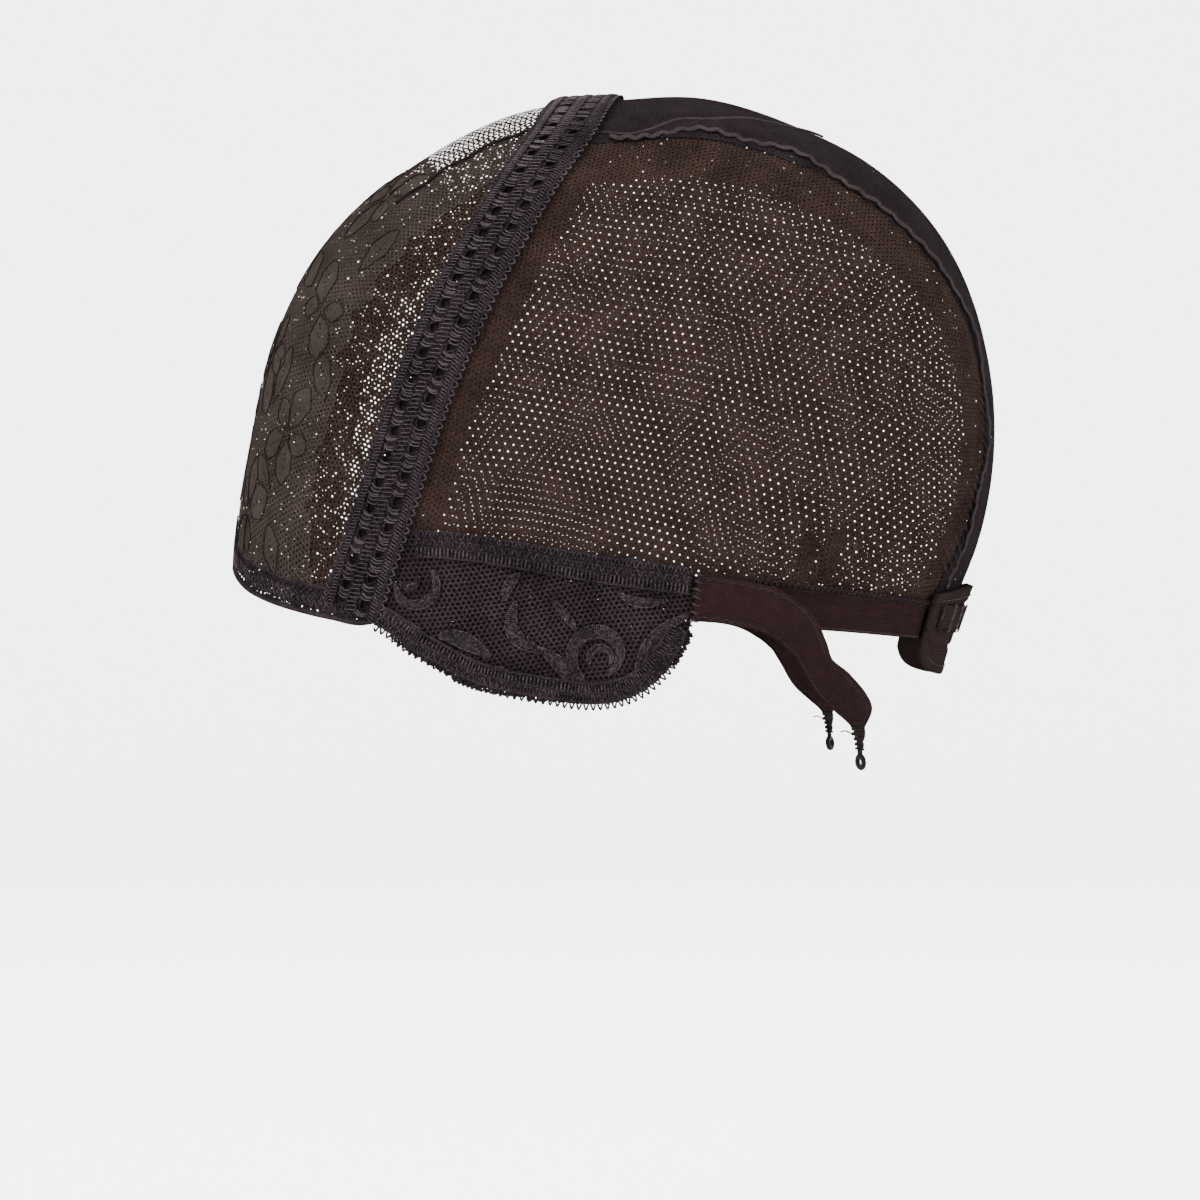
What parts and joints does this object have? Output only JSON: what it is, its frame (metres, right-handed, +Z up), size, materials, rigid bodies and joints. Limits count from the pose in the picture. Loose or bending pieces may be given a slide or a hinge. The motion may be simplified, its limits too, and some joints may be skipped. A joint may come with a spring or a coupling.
{
  "type": "wig cap",
  "caption": "Stretch-net wig cap in its worn form, with a lace front, an ear-to-ear openwork tape, lace ear tabs, a nape elastic and hanging hook straps.",
  "frame": {"origin": "inside of the crown over the ears, where the cap sits on a head", "axes": "+Z up, -Y towards the brow, +Y towards the nape, +X towards the wearer's left"},
  "size_m": [0.1548, 0.1929, 0.1698],
  "materials": {
    "net": "fine hexagonal stretch net, dark brown, matt with a slight nylon sheen",
    "doubled_net": "the same net laid double, almost opaque",
    "lace": "floral and scroll lace on a net ground, dark brown",
    "tape": "knitted and crocheted trimming, dark brown with lighter raised threads",
    "elastic": "woven flat elastic, fine ribs, satin sheen",
    "adjuster_cloth": "folded woven tape, greyish brown, stitched",
    "loop_tape": "folded black ribbon",
    "hook": "black moulded plastic, glossy"
  },
  "bodies": {
    "root": {"front_net": "net", "front_lace": "lace", "front_hem": "tape", "crown_tape": "tape", "side_net_left": "net", "side_net_right": "net", "crown_strip": "doubled_net", "ear_tab_left": "lace", "ear_tab_right": "lace", "tab_binding_left": "tape", "tab_binding_right": "tape", "tab_edging_left": "tape", "tab_edging_right": "tape", "nape_elastic": "elastic", "inner_loop_left": "loop_tape", "inner_loop_right": "loop_tape", "adjuster_panel": "adjuster_cloth", "adjuster_loops": "adjuster_cloth", "strap_left": "elastic", "strap_right": "elastic", "strap_hook_left": "hook", "strap_hook_right": "hook"}
  },
  "joints": []
}
